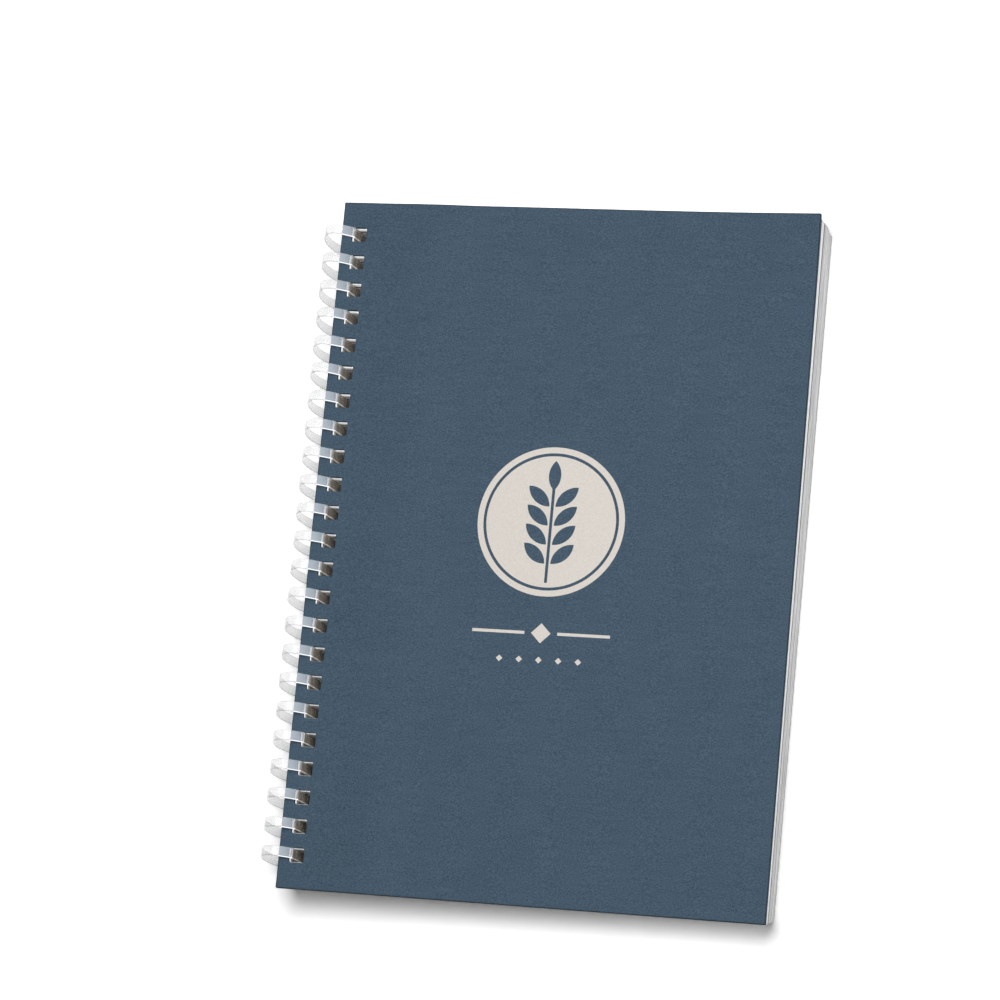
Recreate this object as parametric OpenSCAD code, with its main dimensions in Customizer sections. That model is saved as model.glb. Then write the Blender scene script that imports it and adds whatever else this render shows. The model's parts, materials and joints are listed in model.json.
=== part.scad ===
// A5 notebook with a hard front cover, bound by flat clear plastic loops.
// It lies on its back: the loops stand out a little behind the back, so the notebook rests
// on them and on the back's fore edge, tilted by about a degree.
// X runs from the spine to the fore edge, Y from the foot to the head, Z up out of the cover.
// The origin is on the table, below the middle of the whole notebook.

/* [Front cover] */
// Width of the front cover, from the spine to the fore edge
cover_w = 148; // [105:1:210]
// Height of the front cover, from the foot to the head
cover_h = 210; // [170:1:300]
// Thickness of the front cover
cover_t = 1.5; // [1:0.1:2.5]
// Corner radius of the front cover
cover_r = 0.3; // [0.2:0.1:2]

/* [Pages and back] */
// Thickness of all the sheets together
pages_t = 12.9; // [8:0.1:16]
// How much shorter the sheets are than the front cover, at the head and at the foot
sheet_inset = 1.2; // [0.5:0.1:3]
// How much shorter the back is than the front cover, at the head and at the foot
back_inset = 2.4; // [0.5:0.1:3]
// Corner radius of the sheets and of the back
sheet_r = 0.4; // [0.2:0.1:1]
// Thickness of the first group of sheets, above the slot where the pages part
section_t = 3; // [1:0.1:6]
// Height of the slot where the pages part
slot_h = 0.9; // [0.2:0.1:1.5]
// Depth of that slot behind the edges of the sheets
slot_d = 1.2; // [0.3:0.1:1.5]
// Thickness of the back
back_t = 1.6; // [1:0.1:2.5]

/* [Punching] */
// Number of loops, and of holes in a row
loop_count = 23; // [5:1:23]
// Distance from the head of the front cover, and from its foot, to the middle of the end loop
end_margin = 10.07; // [6:0.01:12]
// Width of a hole, across the spine
hole_w = 4.6; // [4.2:0.1:6]
// Height of a hole, along the spine
hole_h = 4.3; // [4:0.1:5]
// Corner radius of a hole
hole_r = 0.5; // [0.1:0.1:0.9]
// Distance from the spine edge to the holes
hole_edge = 3.2; // [2:0.1:4]

/* [Loops] */
// Width of the plastic band, along the spine
band_w = 3.1; // [2:0.1:3.4]
// Thickness of the band
band_t = 0.5; // [0.3:0.05:0.6]
// Radius of the band's long edges
band_r = 0.15; // [0.05:0.01:0.15]
// Play between a hole's spine side and the band that runs down through it
band_play = 1.05; // [0.9:0.05:1.3]
// How far a loop stands out past the spine edge
loop_reach = 7.1; // [5.5:0.1:8]
// How far a loop stands up over the front cover, and out behind the back
loop_rise = 3.4; // [3:0.1:5]

/* [Cover print] */
// Diameter of the printed round field
print_d = 45; // [36:1:60]
// Height of the round field's centre above the middle of the cover
print_y = 9; // [0:1:20]
// Thickness of the printed ink
ink_t = 0.06; // [0.04:0.01:0.1]
// Width of the stem and of the thin lines in the print
line_w = 0.9; // [0.5:0.1:1.5]
// Length of a leaf in the print
leaf_l = 9; // [6:0.5:10]
// Width of a leaf in the print
leaf_w = 3.8; // [2:0.1:5]
// Least free space between neighbouring leaves in the print
leaf_gap = 0.3; // [0.1:0.1:2]
// Free space between the sprig and the thin rim line round it
sprig_gap = 1.4; // [0.8:0.1:3]
// Distance from the round field's lower end to the ornament's lines
ornament_drop = 11; // [5:0.5:15]
// Distance from those lines to the row of small diamonds below them
diamond_drop = 8; // [5:0.5:12]
// Length of each line of the ornament below the round field
rule_l = 16; // [8:1:20]
// Half width of the ornament's middle diamond
diamond_r = 3; // [1.5:0.5:4]
// Free space between the middle diamond and each line beside it
diamond_gap = 2; // [0.5:0.5:5]

/* [Hidden] */
$fn = 96;
stack_t = cover_t + pages_t + back_t;
sheet_h = cover_h - 2 * sheet_inset;
back_h = cover_h - 2 * back_inset;
row_l = cover_h - 2 * end_margin;
pitch = row_l / (loop_count - 1);

// Heights over the middle of the closed stack
cover_z = stack_t / 2 - cover_t;
pages_z = cover_z - pages_t;
back_z = -stack_t / 2;

// A loop's outline has two half circles, and two straights of which one runs through the holes.
loop_right = hole_edge + band_play + band_t;
loop_w = loop_reach + loop_right;
loop_x = loop_right - loop_w / 2;
loop_mid_r = (loop_w - band_t) / 2;
half_straight = (stack_t + 2 * loop_rise - loop_w) / 2;

// The table touches the loops' lower half circles and the back's lower fore edge.
// The edge's place is measured from the middle of a lower half circle.
edge_dx = cover_w - loop_x;
edge_dz = half_straight - stack_t / 2;
rest_tilt = atan(edge_dz / edge_dx) + asin(loop_w / 2 / norm([edge_dx, edge_dz]));
rest_z = loop_x * sin(rest_tilt) + half_straight * cos(rest_tilt) + loop_w / 2;
spine_end = loop_x * cos(rest_tilt) - half_straight * sin(rest_tilt) - loop_w / 2;
fore_end = cover_w * cos(rest_tilt) + stack_t / 2 * sin(rest_tilt);

// The sprig fills the space inside the rim line: a stem with a leaf on top and pairs of leaves
leaf_lean = 48;
rim_r = print_d / 2 - 2 * line_w;
sprig_top = rim_r - line_w - sprig_gap;
stem_l = 2 * sprig_top - leaf_l + line_w;
leaf_pairs = floor(stem_l * sin(leaf_lean) / (leaf_w + leaf_gap)) - 1;
leaf_step = stem_l / (leaf_pairs + 1);
ornament_y = -print_d / 2 - ornament_drop;
under_rule_y = ornament_y - diamond_drop;

function loop_name(i) = str("loop_", i < 10 ? "0" : "", i);
function loop_y(i) = row_l / 2 - (i - 1) * pitch;

// Sets down on the table what is drawn with the stack's middle at height 0
module laid() {
    translate([-(spine_end + fore_end) / 2, 0, rest_z])
        rotate([0, rest_tilt, 0])
            children();
}

// A rectangle with round corners, from its lower left corner
module rounded_field(w, h, r) {
    translate([r, 0])
        square([w - 2 * r, h]);
    translate([0, r])
        square([w, h - 2 * r]);
    for (x = [r, w - r], y = [r, h - r])
        translate([x, y])
            circle(r);
}

// The row of punched holes along the spine
module punching() {
    for (i = [1 : loop_count])
        translate([hole_edge, loop_y(i) - hole_h / 2])
            rounded_field(hole_w, hole_h, hole_r);
}

// A sheet, or a pile of sheets, with its spine edge at x = 0
module punched_sheet(h, t, r, trim = 0) {
    linear_extrude(t)
        difference() {
            translate([0, -h / 2 + trim])
                rounded_field(cover_w - trim, h - 2 * trim, r);
            punching();
        }
}

module front_cover() {
    color("#47586a")
        laid()
            translate([0, 0, cover_z])
                punched_sheet(cover_h, cover_t, cover_r);
}

// All the sheets as one pile: they part at a slot that runs round the three open sides
module page_block() {
    lower_t = pages_t - section_t - slot_h;
    color("#d9d7d3")
        laid()
            translate([0, 0, pages_z]) {
                punched_sheet(sheet_h, lower_t, sheet_r);
                translate([0, 0, lower_t])
                    punched_sheet(sheet_h, slot_h, sheet_r, slot_d);
                translate([0, 0, lower_t + slot_h])
                    punched_sheet(sheet_h, section_t, sheet_r);
            }
}

module back_cover() {
    color("#9d9b97")
        laid()
            translate([0, 0, back_z])
                punched_sheet(back_h, back_t, sheet_r);
}

// The band's section, standing on the middle of its thickness
module band_section() {
    translate([-band_t / 2, -band_w / 2])
        rounded_field(band_t, band_w, band_r);
}

// One closed band, drawn flat with the spine's direction along Z
module loop_band() {
    for (turn = [0, 180])
        rotate([0, 0, turn]) {
            translate([0, half_straight, 0])
                rotate_extrude(angle = 180)
                    translate([loop_mid_r, 0])
                        band_section();
            translate([loop_mid_r, half_straight, 0])
                rotate([90, 0, 0])
                    linear_extrude(2 * half_straight)
                        band_section();
        }
}

module binding_loop(i) {
    color("#e8edf2", 0.6)
        laid()
            translate([loop_x, loop_y(i), 0])
                rotate([90, 0, 0])
                    loop_band();
}

// A pointed leaf standing on its tip: what two discs have in common
module leaf() {
    disc_r = (leaf_l * leaf_l + leaf_w * leaf_w) / (4 * leaf_w);
    translate([0, leaf_l / 2])
        intersection_for (side = [-1, 1])
            translate([side * (disc_r - leaf_w / 2), 0])
                circle(disc_r);
}

module sprig() {
    translate([-line_w / 2, -sprig_top])
        square([line_w, stem_l]);
    translate([0, sprig_top - leaf_l])
        leaf();
    for (pair = [1 : leaf_pairs], side = [-1, 1])
        translate([side * line_w, pair * leaf_step - sprig_top])
            rotate(-side * leaf_lean)
                leaf();
}

module diamond(r) {
    rotate(45)
        square(r * sqrt(2), center = true);
}

// A plain divider: a diamond between two lines, over a shorter line of small diamonds
module ornament() {
    translate([0, ornament_y])
        diamond(diamond_r);
    for (side = [-1, 1])
        translate([side * (diamond_r + diamond_gap + rule_l / 2), ornament_y])
            square([rule_l, line_w], center = true);
    for (place = [-2 : 2])
        translate([place * diamond_r * 2, under_rule_y])
            diamond(diamond_r / 3);
}

module cover_print() {
    color("#ddd6ce")
        laid()
            translate([cover_w / 2, print_y, stack_t / 2])
                linear_extrude(ink_t) {
                    difference() {
                        circle(d = print_d);
                        difference() {
                            circle(rim_r);
                            circle(rim_r - line_w);
                        }
                        sprig();
                    }
                    ornament();
                }
}

front_cover();
cover_print();
page_block();
back_cover();
for (i = [1 : loop_count])
    binding_loop(i);
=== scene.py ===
import json
import math

import bmesh
import bpy
from mathutils import Matrix, Vector


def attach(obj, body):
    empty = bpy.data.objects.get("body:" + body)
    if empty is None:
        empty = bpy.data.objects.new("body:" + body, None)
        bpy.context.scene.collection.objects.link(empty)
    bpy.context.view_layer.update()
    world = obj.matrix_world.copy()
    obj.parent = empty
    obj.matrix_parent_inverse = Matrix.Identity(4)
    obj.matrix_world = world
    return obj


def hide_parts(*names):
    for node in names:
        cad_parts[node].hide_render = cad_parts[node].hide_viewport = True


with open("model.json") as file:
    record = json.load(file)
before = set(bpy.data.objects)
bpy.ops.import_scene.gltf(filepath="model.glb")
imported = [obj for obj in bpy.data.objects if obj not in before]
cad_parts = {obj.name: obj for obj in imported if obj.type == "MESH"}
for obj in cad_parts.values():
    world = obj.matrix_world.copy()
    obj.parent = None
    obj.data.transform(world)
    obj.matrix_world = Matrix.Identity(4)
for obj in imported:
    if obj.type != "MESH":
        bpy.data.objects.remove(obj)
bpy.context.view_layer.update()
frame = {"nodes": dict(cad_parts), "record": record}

MM = 0.001

# How the notebook lies. It rests on the backs of its loops and on the fore edge of its back,
# so it leans by about a degree. The back's outer face, as the record has it, gives that lean.
# Book coordinates: x from the spine edge, y from the middle of the height, z from that face.
cover_w = 148 * MM
cover_h = 210 * MM
back_face = next(mount for mount in frame["record"]["mounts"] if mount["name"] == "back_face")
lean = math.asin(-back_face["axis"][0])
lie = (
    Matrix.Translation(back_face["pos_m"])
    @ Matrix.Rotation(lean, 4, "Y")
    @ Matrix.Translation((-cover_w / 2, 0, 0))
)


# The camera looks down on the cover from the fore edge's side and a little from the foot.
# Its place and turn were fitted to the cover's four corners in the photograph, in book
# coordinates, and its focal length to how fast the cover narrows.
def placed(name, data):
    """A new object in the scene, at the origin."""
    made = bpy.data.objects.new(name, data)
    bpy.context.scene.collection.objects.link(made)
    return made


focal_px = 3782
picture_px = 1000
camera_data = bpy.data.cameras.new("camera")
camera_data.sensor_width = 36
camera_data.lens = camera_data.sensor_width * focal_px / picture_px
camera_data.clip_end = 20
camera_right = Vector((0.96407, 0.09189, -0.24925))
camera_up = Vector((-0.04529, 0.98138, 0.18665))
camera_back = camera_right.cross(camera_up)
camera_turn = Matrix((camera_right, camera_up, camera_back)).transposed().to_4x4()
camera_place = Vector((352.7 * MM, -175.2 * MM, 1086.7 * MM))
camera = placed("camera", camera_data)
camera.matrix_world = lie @ Matrix.Translation(camera_place) @ camera_turn
bpy.context.scene.camera = camera
bpy.context.scene.view_settings.view_transform = "Standard"


# The light. One wide soft box hangs above the head, so that the shadows fall towards the foot.
# A weaker one stands low beyond the fore edge, and an even white surrounding fills the rest.
def combined(nodes, links, operation, first, second):
    """Two numbers put together by a Math node."""
    made = nodes.new("ShaderNodeMath")
    made.operation = operation
    links.new(first, made.inputs[0])
    links.new(second, made.inputs[1])
    return made.outputs[0]


def mixed(nodes, links, kind, factor, first, last):
    """A mix of two numbers or colours, of which the first may be another node's."""
    mix = nodes.new("ShaderNodeMix")
    mix.data_type = kind
    links.new(factor, mix.inputs["Factor"])
    if isinstance(first, bpy.types.NodeSocket):
        links.new(first, mix.inputs["A"])
    else:
        mix.inputs["A"].default_value = first
    mix.inputs["B"].default_value = last
    return mix.outputs["Result"]


def seen_directly(nodes, links):
    """1 for what only the camera, gloss and glass see of a white surrounding, and otherwise 0."""
    path = nodes.new("ShaderNodeLightPath")
    glossy = path.outputs["Is Glossy Ray"]
    gloss = combined(nodes, links, "MAXIMUM", glossy, path.outputs["Is Transmission Ray"])
    return combined(nodes, links, "MAXIMUM", path.outputs["Is Camera Ray"], gloss)


surrounding_light = 0.1
world = bpy.data.worlds.new("studio")
bpy.context.scene.world = world
world.use_nodes = True
nodes = world.node_tree.nodes
links = world.node_tree.links
level = mixed(nodes, links, "FLOAT", seen_directly(nodes, links), surrounding_light, 1)
links.new(level, nodes["Background"].inputs["Strength"])
nodes["Background"].inputs["Color"].default_value = (1, 1, 1, 1)

soft_boxes = (
    ("soft_box_head", (0.06, 0.09, 0.745), 0.4, 4.5),
    ("soft_box_fore", (2.0, -0.2, 0.22), 0.4, 19),
)
for name, place, size, power in soft_boxes:
    box_data = bpy.data.lights.new(name, "AREA")
    box_data.size = size
    box_data.energy = power
    soft_box = placed(name, box_data)
    soft_box.rotation_euler = Vector(place).to_track_quat("Z", "Y").to_euler()
    soft_box.location = place


# The table. A plain matte white top, wide enough to fill every view. What looks straight at it
# sees it burnt out, as in a photograph on white, so that only the deeper shadows stay, and
# further out it fades to plain white.
def material(name):
    """A new material, with its nodes, its links and its shader."""
    made = bpy.data.materials.new(name)
    made.use_nodes = True
    nodes = made.node_tree.nodes
    return made, nodes, made.node_tree.links, nodes["Principled BSDF"]


def stepped(nodes, links, amount, low, high, first, last):
    """A number that goes from first to last as an amount goes from low to high."""
    ramp = nodes.new("ShaderNodeMapRange")
    ramp.inputs["From Min"].default_value = low
    ramp.inputs["From Max"].default_value = high
    ramp.inputs["To Min"].default_value = first
    ramp.inputs["To Max"].default_value = last
    links.new(amount, ramp.inputs["Value"])
    return ramp.outputs["Result"]


lit_white = (0.9, 0.9, 0.9, 1)
seen_white = (1.48, 1.48, 1.48, 1)
fade_start = 0.24
fade_end = 0.5


def white_top():
    """Matte white, seen burnt out, which fades to plain white away from the notebook."""
    made, nodes, links, shader = material("white_top")
    nodes.remove(shader)
    seen = seen_directly(nodes, links)
    matte = nodes.new("ShaderNodeBsdfDiffuse")
    links.new(mixed(nodes, links, "RGBA", seen, lit_white, seen_white), matte.inputs["Color"])
    place = nodes.new("ShaderNodeTexCoord")
    distance = nodes.new("ShaderNodeVectorMath")
    distance.operation = "LENGTH"
    links.new(place.outputs["Object"], distance.inputs[0])
    fade = stepped(nodes, links, distance.outputs["Value"], fade_start, fade_end, 0, 1)
    far_white = nodes.new("ShaderNodeEmission")
    surface = nodes.new("ShaderNodeMixShader")
    links.new(combined(nodes, links, "MULTIPLY", fade, seen), surface.inputs[0])
    links.new(matte.outputs["BSDF"], surface.inputs[1])
    links.new(far_white.outputs["Emission"], surface.inputs[2])
    links.new(surface.outputs["Shader"], nodes["Material Output"].inputs["Surface"])
    return made


table_half = 2.5
table_mesh = bpy.data.meshes.new("table")
table_mesh.from_pydata(
    [(x * table_half, y * table_half, 0) for x, y in ((-1, -1), (1, -1), (1, 1), (-1, 1))],
    [],
    [(0, 1, 2, 3)],
)
table_mesh.materials.append(white_top())
table = placed("table", table_mesh)

# The front cover. A board 1.5 mm thick with a slate blue printed face and cut edges coloured
# darker, partly their own colour and partly painted shade, punched with 23 holes along the
# spine. The cutter has softened its edges, it bulges a little beside the loops, and its upper
# free corner has started to lift.
cover_t = 1.5 * MM
pages_t = 12.9 * MM
back_t = 1.6 * MM
stack_t = cover_t + pages_t + back_t
cover_r = 0.3 * MM
cover_soft_edge = 0.28 * MM
loop_count = 23
pitch = 8.63 * MM
hole_w = 4.6 * MM
hole_h = 4.3 * MM
hole_r = 0.5 * MM
hole_edge = 3.2 * MM
merge_within = 0.001 * MM
cut_within = 0.01 * MM


def loop_y(index):
    """The middle of a loop and of its hole, counted from the head."""
    return ((loop_count - 1) / 2 - index) * pitch


def rounded_outline(low_x, low_y, high_x, high_y, radius, steps):
    """The corner points of a rectangle with round corners, once round."""
    points = []
    corners = ((high_x, high_y, 0), (low_x, high_y, 90), (low_x, low_y, 180), (high_x, low_y, 270))
    for x, y, start in corners:
        middle_x = x - radius if x == high_x else x + radius
        middle_y = y - radius if y == high_y else y + radius
        for step in range(steps + 1):
            turn = math.radians(start + 90 * step / steps)
            points.append((middle_x + radius * math.cos(turn), middle_y + radius * math.sin(turn)))
    return points


def plain_mesh(maker):
    """The mesh that an object's curve or modifier comes to. The object itself goes."""
    bpy.context.view_layer.update()
    worked_out = maker.evaluated_get(bpy.context.evaluated_depsgraph_get())
    made = bpy.data.meshes.new_from_object(worked_out)
    bpy.data.objects.remove(maker)
    return made


def punched_board(name, width, height, thickness, radius, soft_edge=0, steps=4):
    """A flat board or sheet lying on z = 0, with its spine edge at x = 0 and the row of holes."""
    curve = bpy.data.curves.new(name, "CURVE")
    curve.dimensions = "2D"
    curve.fill_mode = "BOTH"
    outlines = [rounded_outline(0, -height / 2, width, height / 2, radius, steps)]
    for index in range(loop_count):
        low_y = loop_y(index) - hole_h / 2
        outlines.append(
            rounded_outline(hole_edge, low_y, hole_edge + hole_w, low_y + hole_h, hole_r, steps)
        )
    for outline in outlines:
        spline = curve.splines.new("POLY")
        spline.points.add(len(outline) - 1)
        for point, (x, y) in zip(spline.points, outline):
            point.co = (x, y, 0, 1)
        spline.use_cyclic_u = True
    curve.extrude = thickness / 2 - soft_edge
    curve.bevel_depth = soft_edge
    curve.bevel_resolution = 2
    curve.offset = -soft_edge
    mesh = plain_mesh(placed(name, curve))
    mesh.transform(Matrix.Translation((0, 0, thickness / 2)))
    shell = bmesh.new()
    shell.from_mesh(mesh)
    bmesh.ops.remove_doubles(shell, verts=shell.verts, dist=merge_within)
    bmesh.ops.recalc_face_normals(shell, faces=shell.faces)
    shell.to_mesh(mesh)
    shell.free()
    return mesh


def cut_across(mesh, spacing):
    """Cuts the board's flat faces into a grid, so that it can bend."""
    shell = bmesh.new()
    shell.from_mesh(mesh)
    spans = ((0, 2 * hole_edge + hole_w, cover_w), (1, -cover_h / 2, cover_h / 2))
    for axis, low, high in spans:
        count = int((high - low) / spacing)
        normal = Vector((0, 0, 0))
        normal[axis] = 1
        for step in range(1, count):
            place = normal * (low + step * (high - low) / count)
            everything = shell.verts[:] + shell.edges[:] + shell.faces[:]
            bmesh.ops.bisect_plane(
                shell, geom=everything, dist=cut_within, plane_co=place, plane_no=normal
            )
    shell.to_mesh(mesh)
    shell.free()


def coat(mesh, choose, *materials):
    """Gives each face the material whose number choose(face) returns."""
    mesh.materials.clear()
    for part_material in materials:
        mesh.materials.append(part_material)
    for face in mesh.polygons:
        face.material_index = choose(face)


def finished(name, mesh, body, slot, *nodes):
    """Puts a mesh in book coordinates in its place and lets it ride on its body."""
    mesh.transform(lie)
    piece = placed(name, mesh)
    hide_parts(*nodes)
    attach(piece, body)


def colour(red, green, blue):
    """A colour read off a screen, 0 to 255, with the screen's sRGB curve taken off."""
    def straight(value):
        value = value / 255
        return value / 12.92 if value <= 0.04045 else ((value + 0.055) / 1.055) ** 2.4
    return (straight(red), straight(green), straight(blue), 1)


def noise(nodes, links, scale, detail, roughness, stretch=(1, 1, 1), tip=0):
    """A noise on the piece with so many grains to a metre.

    The stretch draws the grains out along the axes, and the tip, about Y, comes after it.
    """
    place = nodes.new("ShaderNodeTexCoord")
    sized = nodes.new("ShaderNodeMapping")
    sized.inputs["Scale"].default_value = [scale / part for part in stretch]
    sized.inputs["Rotation"].default_value = (0, tip, 0)
    made = nodes.new("ShaderNodeTexNoise")
    made.inputs["Scale"].default_value = 1
    made.inputs["Detail"].default_value = detail
    made.inputs["Roughness"].default_value = roughness
    links.new(place.outputs["Object"], sized.inputs["Vector"])
    links.new(sized.outputs["Vector"], made.inputs["Vector"])
    return made.outputs["Fac"]


def weighed(nodes, links, parts):
    """The weighted sum of several noises."""
    total = None
    for part, weight in parts:
        scaled = nodes.new("ShaderNodeMath")
        scaled.operation = "MULTIPLY_ADD"
        scaled.inputs[1].default_value = weight
        scaled.inputs[2].default_value = 0
        links.new(part, scaled.inputs[0])
        if total is not None:
            links.new(total, scaled.inputs[2])
        total = scaled.outputs[0]
    return total


def shade(nodes, links, amount, low, high, dark, light):
    """A colour between dark and light, as an amount goes from low to high."""
    ramp = nodes.new("ShaderNodeValToRGB")
    ramp.color_ramp.elements[0].position = low
    ramp.color_ramp.elements[0].color = dark
    ramp.color_ramp.elements[1].position = high
    ramp.color_ramp.elements[1].color = light
    links.new(amount, ramp.inputs["Fac"])
    return ramp.outputs["Color"]


def roughen(nodes, links, shader, height, strength, depth):
    """Gives the surface a fine relief, as high as a noise says."""
    relief = nodes.new("ShaderNodeBump")
    relief.inputs["Strength"].default_value = strength
    relief.inputs["Distance"].default_value = depth
    links.new(height, relief.inputs["Height"])
    links.new(relief.outputs["Normal"], shader.inputs["Normal"])


def dull(shader, roughness, gloss):
    """Sets how matte a surface is and how much gloss it keeps."""
    shader.inputs["Roughness"].default_value = roughness
    shader.inputs["Specular IOR Level"].default_value = gloss


def slate_board():
    """The printed face: slate blue, with fibres and faint streaks across the cover."""
    made, nodes, links, shader = material("slate_board")
    fibres = noise(nodes, links, scale=3000, detail=2, roughness=0.6, stretch=(1.5, 1, 1))
    streaks = noise(nodes, links, scale=700, detail=2, roughness=0.6, stretch=(6, 1, 1))
    cloud = noise(nodes, links, scale=60, detail=3, roughness=0.5)
    texture = weighed(nodes, links, ((fibres, 0.8), (streaks, 0.12), (cloud, 0.08)))
    tint = shade(nodes, links, texture, 0.32, 0.68, colour(53, 72, 88), colour(83, 103, 120))
    links.new(tint, shader.inputs["Base Color"])
    roughen(nodes, links, shader, fibres, strength=0.35, depth=0.05 * MM)
    dull(shader, roughness=0.75, gloss=0.15)
    return made


def cut_edge():
    """The board's cut edge, darker than its face: partly its own colour, partly painted shade."""
    made, nodes, links, shader = material("cut_edge")
    fibres = noise(nodes, links, scale=2500, detail=3, roughness=0.7)
    tint = shade(nodes, links, fibres, 0.3, 0.7, colour(34, 43, 53), colour(54, 65, 78))
    links.new(tint, shader.inputs["Base Color"])
    dull(shader, roughness=0.85, gloss=0.15)
    return made


corner_lift = 1.7 * MM
corner_reach = 46 * MM
bulge_lift = 0.5 * MM
bulge_start = 10 * MM
bulge_end = 44 * MM
bend_spacing = 5 * MM
flat_face = 0.985
rim_face = 0.3
margin = 1 * MM


def cover_rise(x, y):
    """How far the cover stands off the pages at a point."""
    from_corner = math.hypot(cover_w - x, cover_h / 2 - y)
    corner = corner_lift * max(1 - from_corner / corner_reach, 0) ** 2
    along = (x - bulge_start) / (bulge_end - bulge_start)
    bulge = bulge_lift * math.sin(math.pi * min(max(along, 0), 1)) ** 2
    return corner + bulge


def is_cut(face):
    """Whether a face belongs to the cut edge. Round a hole, the print reaches to its rim."""
    in_row = margin < face.center.x < 2 * hole_edge + hole_w
    rim = rim_face if in_row and abs(face.center.y) < cover_h / 2 - margin else flat_face
    return abs(face.normal.z) < rim


cover_mesh = punched_board("front_board", cover_w, cover_h, cover_t, cover_r, cover_soft_edge)
cut_across(cover_mesh, bend_spacing)
coat(cover_mesh, is_cut, slate_board(), cut_edge())
for vertex in cover_mesh.vertices:
    vertex.co.z += stack_t - cover_t + cover_rise(vertex.co.x, vertex.co.y)
finished("front_board", cover_mesh, "front_cover", "cover_board", "front_cover")


# The print on the cover. Matte cream ink in one thin coat: a round field with a sprig left
# open in it, over a plain divider. The coat takes the grain of the board below it.
def cream_ink():
    """Cream ink with a fine grain."""
    made, nodes, links, shader = material("cream_ink")
    grain = noise(nodes, links, scale=2200, detail=3, roughness=0.5)
    tint = shade(nodes, links, grain, 0.3, 0.7, colour(214, 207, 199), colour(226, 220, 212))
    links.new(tint, shader.inputs["Base Color"])
    roughen(nodes, links, shader, grain, strength=0.2, depth=0.03 * MM)
    shader.inputs["Roughness"].default_value = 0.65
    return made


print_node = frame["nodes"]["cover_print"]
print_node.data.materials.clear()
print_node.data.materials.append(cream_ink())

# The sheets. A block of white paper cut with one knife: groups of leaves have shifted by a
# hair against each other, and the block parts at one place below its first leaves.
sheet_h = 207.6 * MM
sheet_r = 0.4 * MM
section_t = 3 * MM
slot_h = 0.9 * MM
slot_d = 1.2 * MM
slot_low = back_t + pages_t - section_t - slot_h
leaf_group_t = 0.3 * MM
leaf_shift = 0.2 * MM


def paper(name, dark, light, glow=0):
    """The cut edges of many leaves: fine lines of light and shade, drawn out level."""
    made, nodes, links, shader = material(name)
    lines = noise(
        nodes, links, scale=3000, detail=4, roughness=0.7, stretch=(75, 75, 1), tip=-lean
    )
    links.new(shade(nodes, links, lines, 0.3, 0.65, dark, light), shader.inputs["Base Color"])
    dull(shader, roughness=0.85, gloss=0.2)
    shader.inputs["Emission Color"].default_value = (1, 1, 1, 1)
    shader.inputs["Emission Strength"].default_value = glow
    return made


def node_group(name, inputs):
    """An empty Geometry Nodes tree with a geometry in and out, and named inputs."""
    tree = bpy.data.node_groups.new(name, "GeometryNodeTree")
    tree.interface.new_socket("Geometry", in_out="INPUT", socket_type="NodeSocketGeometry")
    for label, kind in inputs:
        tree.interface.new_socket(label, in_out="INPUT", socket_type=kind)
    tree.interface.new_socket("Geometry", in_out="OUTPUT", socket_type="NodeSocketGeometry")
    entry = tree.nodes.new("NodeGroupInput")
    leave = tree.nodes.new("NodeGroupOutput")
    return tree, entry, leave


def scaled_vector(tree, direction, amount):
    """A fixed vector times a number."""
    made = tree.nodes.new("ShaderNodeVectorMath")
    made.operation = "SCALE"
    made.inputs[0].default_value = direction
    tree.links.new(amount, made.inputs["Scale"])
    return made.outputs["Vector"]


def row_of_points(tree, count, spacing, direction):
    """So many points in a straight row."""
    row = tree.nodes.new("GeometryNodeMeshLine")
    row.mode = "OFFSET"
    tree.links.new(count, row.inputs["Count"])
    tree.links.new(scaled_vector(tree, direction, spacing), row.inputs["Offset"])
    return row.outputs["Mesh"]


def random_vector(tree, least, most, amount, seed):
    """A random vector between two fixed ones, each times a number."""
    drawn = tree.nodes.new("FunctionNodeRandomValue")
    drawn.data_type = "FLOAT_VECTOR"
    tree.links.new(scaled_vector(tree, least, amount), drawn.inputs["Min"])
    tree.links.new(scaled_vector(tree, most, amount), drawn.inputs["Max"])
    tree.links.new(seed, drawn.inputs["Seed"])
    return drawn.outputs["Value"]


def copies_on(tree, points, piece, finish, leave):
    """Puts a copy of a piece on each point, joins the copies and coats them."""
    copies = tree.nodes.new("GeometryNodeInstanceOnPoints")
    whole = tree.nodes.new("GeometryNodeRealizeInstances")
    coated = tree.nodes.new("GeometryNodeSetMaterial")
    tree.links.new(points, copies.inputs["Points"])
    tree.links.new(piece, copies.inputs["Instance"])
    tree.links.new(copies.outputs["Instances"], whole.inputs["Geometry"])
    tree.links.new(whole.outputs["Geometry"], coated.inputs["Geometry"])
    tree.links.new(finish, coated.inputs["Material"])
    tree.links.new(coated.outputs["Geometry"], leave.inputs["Geometry"])
    return copies


def grown(name, mesh, tree, values):
    """The plain mesh that a Geometry Nodes tree makes from a mesh, with these input values."""
    carrier = placed(name, mesh)
    modifier = carrier.modifiers.new(name, "NODES")
    modifier.node_group = tree
    for item in tree.interface.items_tree:
        if item.item_type == "SOCKET" and item.in_out == "INPUT" and item.name in values:
            modifier[item.identifier] = values[item.name]
    return plain_mesh(carrier)


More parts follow.
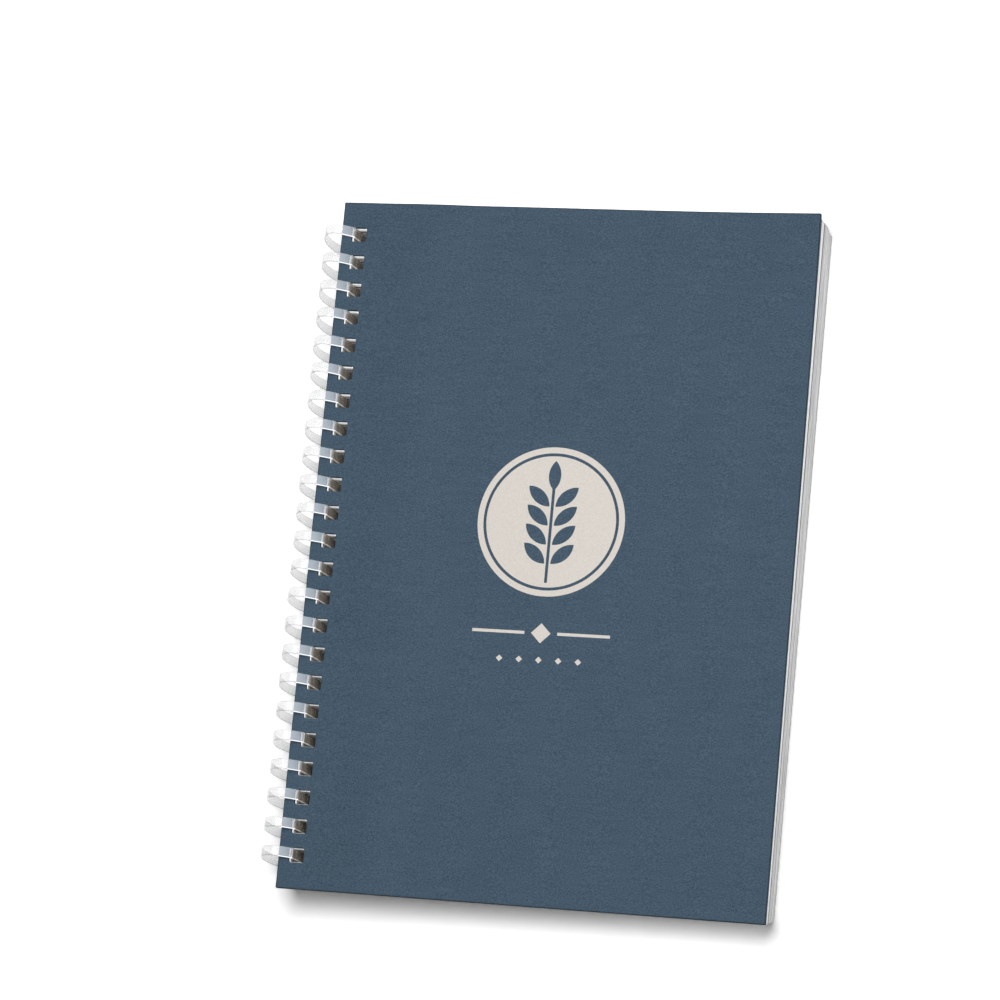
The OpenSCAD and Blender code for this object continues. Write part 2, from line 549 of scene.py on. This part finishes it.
def pile_of_leaves():
    """A tree that piles up a leaf group, each one shifted a little inwards or along the spine."""
    tree, entry, leave = node_group(
        "pile_of_leaves",
        [
            ("Groups", "NodeSocketInt"),
            ("Spacing", "NodeSocketFloat"),
            ("Shift", "NodeSocketFloat"),
            ("Seed", "NodeSocketInt"),
            ("Paper", "NodeSocketMaterial"),
        ],
    )
    row = row_of_points(tree, entry.outputs["Groups"], entry.outputs["Spacing"], (0, 0, 1))
    shift = random_vector(
        tree, (-1, -1, 0), (0, 1, 0), entry.outputs["Shift"], entry.outputs["Seed"]
    )
    shifted = tree.nodes.new("GeometryNodeSetPosition")
    tree.links.new(row, shifted.inputs["Geometry"])
    tree.links.new(shift, shifted.inputs["Offset"])
    points = shifted.outputs["Geometry"]
    copies_on(tree, points, entry.outputs["Geometry"], entry.outputs["Paper"], leave)
    return tree


first_leaves = paper("first_leaves", colour(226, 228, 230), colour(250, 251, 252))
white_paper = paper("white_paper", colour(172, 172, 173), colour(236, 236, 237))
# Painted shade: darker brown-grey paper for the walls down in the holes and in the slot.
hole_shade_paper = paper("hole_shade_paper", colour(158, 150, 140), colour(188, 179, 168))
sheet_face = paper("sheet_face", colour(246, 247, 248), colour(249, 250, 251))
# Painted highlight: near-white paper that glows, at the mouths of the holes.
lit_paper = paper("lit_paper", colour(235, 236, 237), colour(250, 251, 252), glow=0.8)
leaf_tree = pile_of_leaves()


def pile(low_z, thickness, seed):
    """A pile of leaf groups between two heights, as one mesh."""
    groups = round(thickness / leaf_group_t)
    spacing = thickness / groups
    leaf_group = punched_board("leaf_group", cover_w, sheet_h, spacing, sheet_r, steps=2)
    values = {
        "Groups": groups,
        "Spacing": spacing,
        "Shift": leaf_shift,
        "Seed": seed,
        "Paper": white_paper,
    }
    made = grown("pile", leaf_group, leaf_tree, values)
    made.transform(Matrix.Translation((0, 0, low_z)))
    return made


slide_out = 0.05 * MM
slide_turn = math.radians(0.3)
slide_to_foot = 0.6 * MM
head_swell = 1.33 * MM
head_slope = 2.96 * MM
foot_swell = 1.15 * MM
foot_slope = 2 * MM


def slide(mesh, head, foot):
    """Lets the pile slide and turn by a hair, more the further down it is.

    The holes follow the loops. The head and the foot move as the two functions of the depth say.
    """
    last_hole = loop_y(0) + hole_h / 2
    for vertex in mesh.vertices:
        depth = 1 - vertex.co.z / (back_t + pages_t)
        vertex.co.x += (slide_out + math.sin(slide_turn) * vertex.co.y) * depth
        if vertex.co.y > last_hole:
            vertex.co.y += head(depth)
        elif vertex.co.y < -last_hole:
            vertex.co.y += foot(depth)
        else:
            vertex.co.y -= slide_to_foot * depth


def sheets_head(depth):
    """The sheets' head swells a little below the cover and draws in towards the back."""
    return (head_swell - head_slope * depth) * depth


def sheets_foot(depth):
    """The sheets' foot reaches out below the cover and draws in evenly towards the back."""
    return foot_slope * depth - foot_swell


lit_depth = 1.2 * MM
lit_from = back_t + pages_t - lit_depth
lip = 0.05 * MM


def paper_of(face):
    """Which paper a face shows.

    0 is the pile's edges, 1 its first leaves' edges, 2 down in a hole or in the slot, darker
    for painted shade, 3 at the mouth of a hole, a painted highlight that glows, and 4 the first
    sheet's face.
    """
    in_hole = hole_edge - margin < face.center.x < hole_edge + hole_w + margin
    upright = abs(face.normal.z) < flat_face
    # In a hole, paper below lit_from takes painted shade and above it a glowing painted highlight;
    # the slot takes the painted shade too.
    if in_hole and upright and abs(face.center.y) < sheet_h / 2 - margin:
        return 2 if face.center.z < lit_from else 3
    if slot_low - lip < face.center.z < slot_low + slot_h + lip:
        return 2
    if not upright and face.center.z > back_t + pages_t - lip:
        return 4
    return 1 if face.center.z > slot_low else 0


core = punched_board("core", cover_w - slot_d, sheet_h - 2 * slot_d, slot_h, sheet_r, steps=2)
core.transform(Matrix.Translation((0, 0, slot_low)))
lower_pile = pile(back_t, slot_low - back_t, seed=3)
upper_pile = pile(slot_low + slot_h, section_t, seed=8)
block = bmesh.new()
for part in (lower_pile, core, upper_pile):
    block.from_mesh(part)
block_mesh = bpy.data.meshes.new("sheets")
block.to_mesh(block_mesh)
block.free()
coat(block_mesh, paper_of, white_paper, first_leaves, hole_shade_paper, lit_paper, sheet_face)
slide(block_mesh, sheets_head, sheets_foot)
finished("sheets", block_mesh, "pages", "paper", "page_block")


# The back. A plain grey board with flecks of pulp in it, cut a little shorter than the sheets
# and punched in the same row. Only the loops hold it to them.
def board(name, dark, light):
    """Grey board with flecks of pulp."""
    made, nodes, links, shader = material(name)
    flecks = noise(nodes, links, scale=900, detail=5, roughness=0.75)
    links.new(shade(nodes, links, flecks, 0.32, 0.62, dark, light), shader.inputs["Base Color"])
    roughen(nodes, links, shader, flecks, strength=0.3, depth=0.05 * MM)
    dull(shader, roughness=0.85, gloss=0.2)
    return made


def is_upright(face):
    """Whether a face belongs to the board's edge or to a hole."""
    return abs(face.normal.z) < flat_face


def unmoved(depth):
    """The back's head and foot stay where they were cut."""
    return 0


back_h = 205.2 * MM
back_soft_edge = 0.12 * MM
grey_board = board("grey_board", colour(142, 140, 137), colour(176, 174, 170))
grey_board_edge = board("grey_board_edge", colour(160, 160, 159), colour(190, 190, 188))
back_mesh = punched_board("back_board", cover_w, back_h, back_t, sheet_r, back_soft_edge)
coat(back_mesh, is_upright, grey_board, grey_board_edge)
slide(back_mesh, unmoved, unmoved)
finished("back_board", back_mesh, "back_cover", "back_board", "back_cover")

# The loops. Each is a closed flat band of clear, soft plastic that runs down through the
# punched holes and round outside the spine. They sit a little unevenly along the row.
band_w = 3.1 * MM
band_t = 0.5 * MM
band_r = 0.15 * MM
band_play = 1.05 * MM
loop_reach = 7.1 * MM
loop_rise = 3.4 * MM
loop_right = hole_edge + band_play + band_t
loop_w = loop_reach + loop_right
face_height = (lie @ Vector((0, 0, stack_t))).z
haze_start = face_height + 0.5 * MM
haze_end = face_height + 3 * MM
slit_w = 0.3 * MM
slit_start = slit_w - band_w / 2
slit_end = 0.6 * slit_w - band_w / 2
rim_start = 0.6
rim_end = 0.95


def plastic(name, tint, haze, rim_haze, edge_tint, edge_haze, edge_glow):
    """Clear plastic, hazier where it is seen edge on.

    Its haze goes from the first of two numbers to the second above the cover's face, and its
    slit edge, the one towards the foot, takes the edge tint and haze, a painted highlight or
    painted shade, and glows by edge_glow.
    """
    made, nodes, links, shader = material(name)
    place = nodes.new("ShaderNodeTexCoord")
    height = nodes.new("ShaderNodeSeparateXYZ")
    links.new(place.outputs["Object"], height.inputs["Vector"])
    across = nodes.new("ShaderNodeAttribute")
    across.attribute_name = "across"
    slant = nodes.new("ShaderNodeLayerWeight")
    at_rim = stepped(nodes, links, slant.outputs["Facing"], rim_start, rim_end, 0, 1)
    at_slit = stepped(nodes, links, across.outputs["Fac"], slit_start, slit_end, 0, 1)
    at_edge = combined(nodes, links, "MAXIMUM", at_rim, at_slit)
    alpha = stepped(nodes, links, height.outputs["Z"], haze_start, haze_end, *haze)
    alpha = mixed(nodes, links, "FLOAT", at_rim, alpha, rim_haze)
    alpha = mixed(nodes, links, "FLOAT", at_slit, alpha, edge_haze)
    links.new(alpha, shader.inputs["Alpha"])
    body = mixed(nodes, links, "RGBA", at_edge, tint, edge_tint)
    links.new(body, shader.inputs["Base Color"])
    if edge_glow:
        glow = stepped(nodes, links, across.outputs["Fac"], slit_start, slit_end, 0, edge_glow)
        links.new(glow, shader.inputs["Emission Strength"])
    shader.inputs["Emission Color"].default_value = (1, 1, 1, 1)
    shader.inputs["Roughness"].default_value = 0.25
    shader.inputs["IOR"].default_value = 1.45
    shader.inputs["Coat Weight"].default_value = 1
    shader.inputs["Coat Roughness"].default_value = 0.12
    return made


# One clear plastic in four copies, coloured for how light falls where each lies: blue-grey over
# the board with a glowing painted highlight on its slit edge, pale outside with painted grey shade
# on its slit edge, painted dark brown shade down in the holes, and a glowing painted highlight at
# the bend.
clear = (0.62, 0.69, 0.76, 1)
smoke = (0.86, 0.87, 0.88, 1)
lit = (0.95, 0.96, 0.97, 1)
grey = (0.3, 0.31, 0.32, 1)
brown = (0.3, 0.27, 0.235, 1)
hole_edge_highlight = (0.7, 0.68, 0.65, 1)
band_on_board = plastic(
    "band_on_board", clear, haze=(0.28, 0.55), rim_haze=0.55,
    edge_tint=lit, edge_haze=0.9, edge_glow=0.4,
)
free_band = plastic(
    "free_band", smoke, haze=(0.26, 0.26), rim_haze=0.42,
    edge_tint=grey, edge_haze=0.4, edge_glow=0,
)
# Painted shade: down in a hole the band is a near-opaque dark brown, with a faint glowing painted
# highlight on its slit edge.
band_in_hole = plastic(
    "band_in_hole", brown, haze=(0.7, 0.7), rim_haze=0.75,
    edge_tint=hole_edge_highlight, edge_haze=0.8, edge_glow=0.1,
)
# Painted highlight: near-white and glowing, in a narrow strip where the band bends down into each
# hole.
highlit_bend_band = plastic(
    "highlit_bend_band", lit, haze=(0.7, 0.7), rim_haze=0.8,
    edge_tint=lit, edge_haze=0.9, edge_glow=0.5,
)
loop_wobble = math.radians(0.4)
wobble_most = (1, 0.5, 3)
wobble_least = (-1, -0.5, -3)


def row_of_loops():
    """A tree that bends a flat band along a closed path and sets it out in a row to the foot.

    The attribute across keeps how far each point is from the middle of the band's width.
    """
    tree, entry, leave = node_group(
        "row_of_loops",
        [
            ("Loops", "NodeSocketInt"),
            ("Pitch", "NodeSocketFloat"),
            ("Band width", "NodeSocketFloat"),
            ("Band thickness", "NodeSocketFloat"),
            ("Edge radius", "NodeSocketFloat"),
            ("Wobble", "NodeSocketFloat"),
            ("Seed", "NodeSocketInt"),
            ("Plastic", "NodeSocketMaterial"),
        ],
    )
    links = tree.links
    section = tree.nodes.new("GeometryNodeCurvePrimitiveQuadrilateral")
    links.new(entry.outputs["Band thickness"], section.inputs["Width"])
    links.new(entry.outputs["Band width"], section.inputs["Height"])
    round_edges = tree.nodes.new("GeometryNodeFilletCurve")
    round_edges.mode = "POLY"
    round_edges.inputs["Count"].default_value = 3
    links.new(section.outputs["Curve"], round_edges.inputs["Curve"])
    links.new(entry.outputs["Edge radius"], round_edges.inputs["Radius"])
    place = tree.nodes.new("GeometryNodeInputPosition")
    section_place = tree.nodes.new("ShaderNodeSeparateXYZ")
    links.new(place.outputs["Position"], section_place.inputs["Vector"])
    marked = tree.nodes.new("GeometryNodeStoreNamedAttribute")
    marked.data_type = "FLOAT"
    marked.domain = "POINT"
    marked.inputs["Name"].default_value = "across"
    links.new(round_edges.outputs["Curve"], marked.inputs["Geometry"])
    links.new(section_place.outputs["Y"], marked.inputs["Value"])
    path = tree.nodes.new("GeometryNodeMeshToCurve")
    links.new(entry.outputs["Geometry"], path.inputs["Mesh"])
    band = tree.nodes.new("GeometryNodeCurveToMesh")
    links.new(path.outputs["Curve"], band.inputs["Curve"])
    links.new(marked.outputs["Geometry"], band.inputs["Profile Curve"])
    upright = tree.nodes.new("GeometryNodeTransform")
    upright.inputs["Rotation"].default_value = (math.radians(90), 0, 0)
    links.new(band.outputs["Mesh"], upright.inputs["Geometry"])
    row = row_of_points(tree, entry.outputs["Loops"], entry.outputs["Pitch"], (0, -1, 0))
    piece = upright.outputs["Geometry"]
    threaded = copies_on(tree, row, piece, entry.outputs["Plastic"], leave)
    wobble = random_vector(
        tree, wobble_least, wobble_most, entry.outputs["Wobble"], entry.outputs["Seed"]
    )
    links.new(wobble, threaded.inputs["Rotation"])
    return tree


flattened = 0.15 * MM
top_x = loop_right - loop_w / 2
top_z = stack_t / 2 + loop_rise - band_t / 2 - flattened
outer_x = band_t / 2 - loop_reach
inner_x = hole_edge + 1.9 * MM
mouth_x = hole_edge + 0.95 * MM
mouth_z = stack_t / 2 + 0.35 * MM
mouth_before = (-1.2 * MM, 0.9 * MM)
mouth_after = (0.25 * MM, -1 * MM)
top_handle = 1.3 * MM
inner_handle = 3.5 * MM
quarter_circle_handle = 0.552
side_handle = quarter_circle_handle * top_z
crown_handle = quarter_circle_handle * (top_x - outer_x)
lean_by = 0.1


def path_point(x, z):
    """A place in a loop's plane. The loops lean, their upper half towards the head."""
    return (x, z, -lean_by * z)


def loop_path():
    """The closed middle line of one loop, drawn flat, as a mesh of edges.

    It has a wide round outside the spine and a sharp bend at the mouth of each hole. Its
    lower half mirrors the upper one.
    """
    upper = (
        (top_x, top_z, (-crown_handle, 0), (top_handle, 0)),
        (mouth_x, mouth_z, mouth_before, mouth_after),
    )
    lower = [
        (x, -z, (after[0], -after[1]), (before[0], -before[1]))
        for x, z, before, after in reversed(upper)
    ]
    bends = [
        (outer_x, 0, (0, -side_handle), (0, side_handle)),
        *upper,
        (inner_x, 0, (0, inner_handle), (0, -inner_handle)),
        *lower,
    ]
    curve = bpy.data.curves.new("loop_path", "CURVE")
    curve.dimensions = "3D"
    curve.resolution_u = 16
    spline = curve.splines.new("BEZIER")
    spline.bezier_points.add(len(bends) - 1)
    spline.use_cyclic_u = True
    for point, (x, z, before, after) in zip(spline.bezier_points, bends):
        point.handle_left_type = "FREE"
        point.handle_right_type = "FREE"
        point.co = path_point(x, z)
        point.handle_left = path_point(x + before[0], z + before[1])
        point.handle_right = path_point(x + after[0], z + after[1])
    return plain_mesh(placed("loop_path", curve))


loops_to_foot = 0.3 * MM
# The strip of the bend's painted highlight, measured above the board's face.
highlight_low = 0.35 * MM
highlight_high = 0.55 * MM
beside_board = 0.9 * MM


def stretch_of(face):
    """Which part of a loop a face is in: 0 over a board, 1 outside, 2 in a hole, in painted shade,
    3 its bend, with a painted highlight.
    """
    above = abs(face.center.z - stack_t / 2) - stack_t / 2
    if face.center.x < beside_board:
        return 1
    if above < highlight_low:
        return 2
    return 3 if above < highlight_high else 0


loop_values = {
    "Loops": loop_count,
    "Pitch": pitch,
    "Band width": band_w,
    "Band thickness": band_t,
    "Edge radius": band_r,
    "Wobble": loop_wobble,
    "Seed": 5,
    "Plastic": band_on_board,
}
loops_mesh = grown("loops", loop_path(), row_of_loops(), loop_values)
loops_mesh.transform(Matrix.Translation((0, loop_y(0) - loops_to_foot, stack_t / 2)))
coat(loops_mesh, stretch_of, band_on_board, free_band, band_in_hole, highlit_bend_band)
for face in loops_mesh.polygons:
    face.use_smooth = True
loop_nodes = [f"loop_{index + 1:02d}" for index in range(loop_count)]
finished("loops", loops_mesh, "pages", "clear_band", *loop_nodes)
